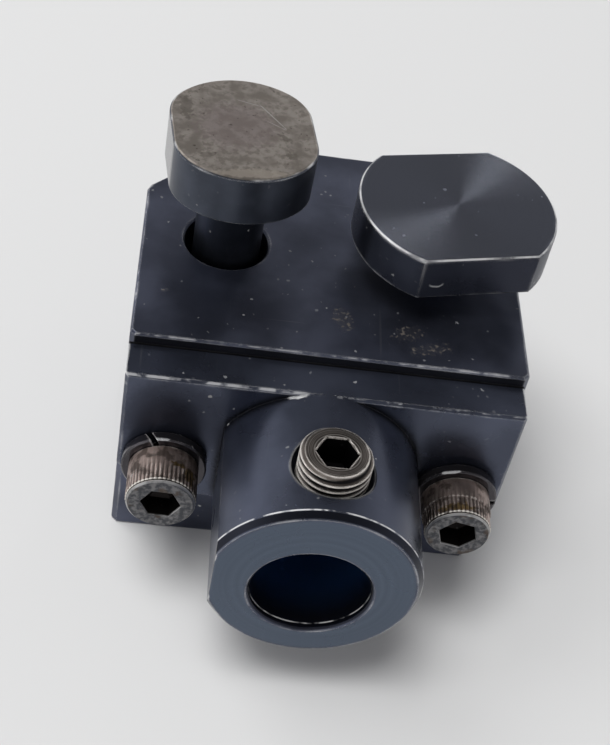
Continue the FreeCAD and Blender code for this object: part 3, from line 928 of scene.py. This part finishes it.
left_bolt_steel = steel("blued and ground bolt steel", BLUED_STEEL, 0.33, wear=0.34, lint=0.15)
left_tree = left_bolt_steel.node_tree
ground_top = along(left_bolt_steel, "Z", 58.62, 58.70)
stains = stretch(left_tree, grain_noise(left_tree, 340.0, 8.0), 0.42, 0.62)
fine_stains = stretch(left_tree, grain_noise(left_tree, 1200.0, 6.0), 0.44, 0.66)
stained = sums(left_tree, "MAXIMUM", sums(left_tree, "MULTIPLY", stains, 0.62), sums(left_tree, "MULTIPLY", fine_stains, 0.58))
middle = spot(left_bolt_steel, (-16.0, 0.5, 58.8), (6.5, 6.0, 2.0), (0, 0, 25), 0.7)
top_tone = blend(left_tree, stained, GROUND_STEEL, STAIN_BROWN)
top_tone = blend(left_tree, sums(left_tree, "MULTIPLY", middle, 0.5), top_tone, STAIN_MAUVE)
pits = stretch(left_tree, grain_noise(left_tree, 1300.0, 4.0), 0.66, 0.74)
top_tone = blend(left_tree, sums(left_tree, "MULTIPLY", pits, 0.8), top_tone, PIT_BROWN)
for centre, size, turn, ragged, share, colour in TOP_MARKS:
    mark = spot(left_bolt_steel, centre + (58.8,), size + (1.0,), (0, 0, turn), ragged)
    top_tone = blend(left_tree, sums(left_tree, "MULTIPLY", mark, share), top_tone, colour)
lay_over(left_bolt_steel, ground_top, top_tone, 0.40, 0.9)
left_flat = on_a_flat(left_bolt_steel, (-15.05, 0.2), 188.2, 9.65)
lay_over(left_bolt_steel, left_flat, FLAT_GREY, 0.17)

right_bolt_steel = steel(
    "turned bolt steel", TURNED_STEEL, 0.28, wear=0.42, wear_width=0.0005, mottling=0.16, lint=0.2)
right_tree = right_bolt_steel.node_tree
head_rings = turned_about(right_bolt_steel, (15.75, -0.1, 0.0), "Z", 2200.0)
turned_tone = blend(right_tree, head_rings.outputs["Marks"], shade(TURNED_TOP, 0.9), shade(TURNED_TOP, 1.1))
lay_over(right_bolt_steel, along(right_bolt_steel, "Z", 51.02, 51.04), turned_tone, 0.27)
right_shader = right_tree.nodes["Principled BSDF"]
right_shader.inputs["Anisotropic"].default_value = 0.95
right_shader.inputs["Anisotropic Rotation"].default_value = 0.25
round_the_head = node(right_tree, "ShaderNodeTangent", direction_type="RADIAL", axis="Z")
link(right_tree, round_the_head.outputs["Tangent"], right_shader.inputs["Tangent"])

# Its front flat is darkened as painted shade, and a knock has left a bright crescent near its left corner
front_flat_shade = on_a_flat(right_bolt_steel, (15.75, -0.1), 283.9, 11.35)
lay_over(right_bolt_steel, sums(right_tree, "MULTIPLY", front_flat_shade, 0.62), OIL_AND_SHADE_BLACK)
knock = spot(right_bolt_steel, (12.8, -12.5, 46.8), (1.15, 0.6, 0.62), (0, 0, 13.9), 0.2)
above_the_knock = spot(right_bolt_steel, (12.75, -12.5, 47.1), (1.2, 0.9, 0.66), (0, 0, 13.9), 0.2)
crescent = both(right_bolt_steel, knock, sums(right_tree, "SUBTRACT", 1.0, above_the_knock))
lay_over(right_bolt_steel, sums(right_tree, "MULTIPLY", crescent, 0.6), BRIGHT_STEEL, 0.4, 0.6)

for bolt_steel, top, amount in ((left_bolt_steel, 58.8, 0.50), (right_bolt_steel, 51.05, 0.38)):
    edge_band = both(
        bolt_steel, along(bolt_steel, "Z", top - 0.26, top - 0.20), along(bolt_steel, "Z", top - 0.02, top - 0.06))
    scuffs = stretch(bolt_steel.node_tree, grain_noise(bolt_steel.node_tree, 240.0, 4.0), amount, amount + 0.2)
    lay_over(bolt_steel, both(bolt_steel, edge_band, scuffs), BRIGHT_STEEL, 0.35, 0.6)

left_place = Matrix.Translation(Vector((-15.05, 0.2, 0)) * MM)
left_bolt = t_bolt("t_bolt_piece_left", left_place, 51.2, 10.95, 9.65, 7.0, 7.6, math.radians(8.2))
left_bolt.data.materials.append(left_bolt_steel)
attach(left_bolt, "left_bolt")
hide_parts("t_bolt_left")

right_place = Matrix.Translation(Vector((15.75, -0.1, 0)) * MM)
right_bolt = t_bolt("t_bolt_piece_right", right_place, 44.3, 13.95, 11.35, 0, 6.75, math.radians(90 + 13.9))
right_bolt.data.materials.append(right_bolt_steel)
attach(right_bolt, "right_bolt")
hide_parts("t_bolt_right")
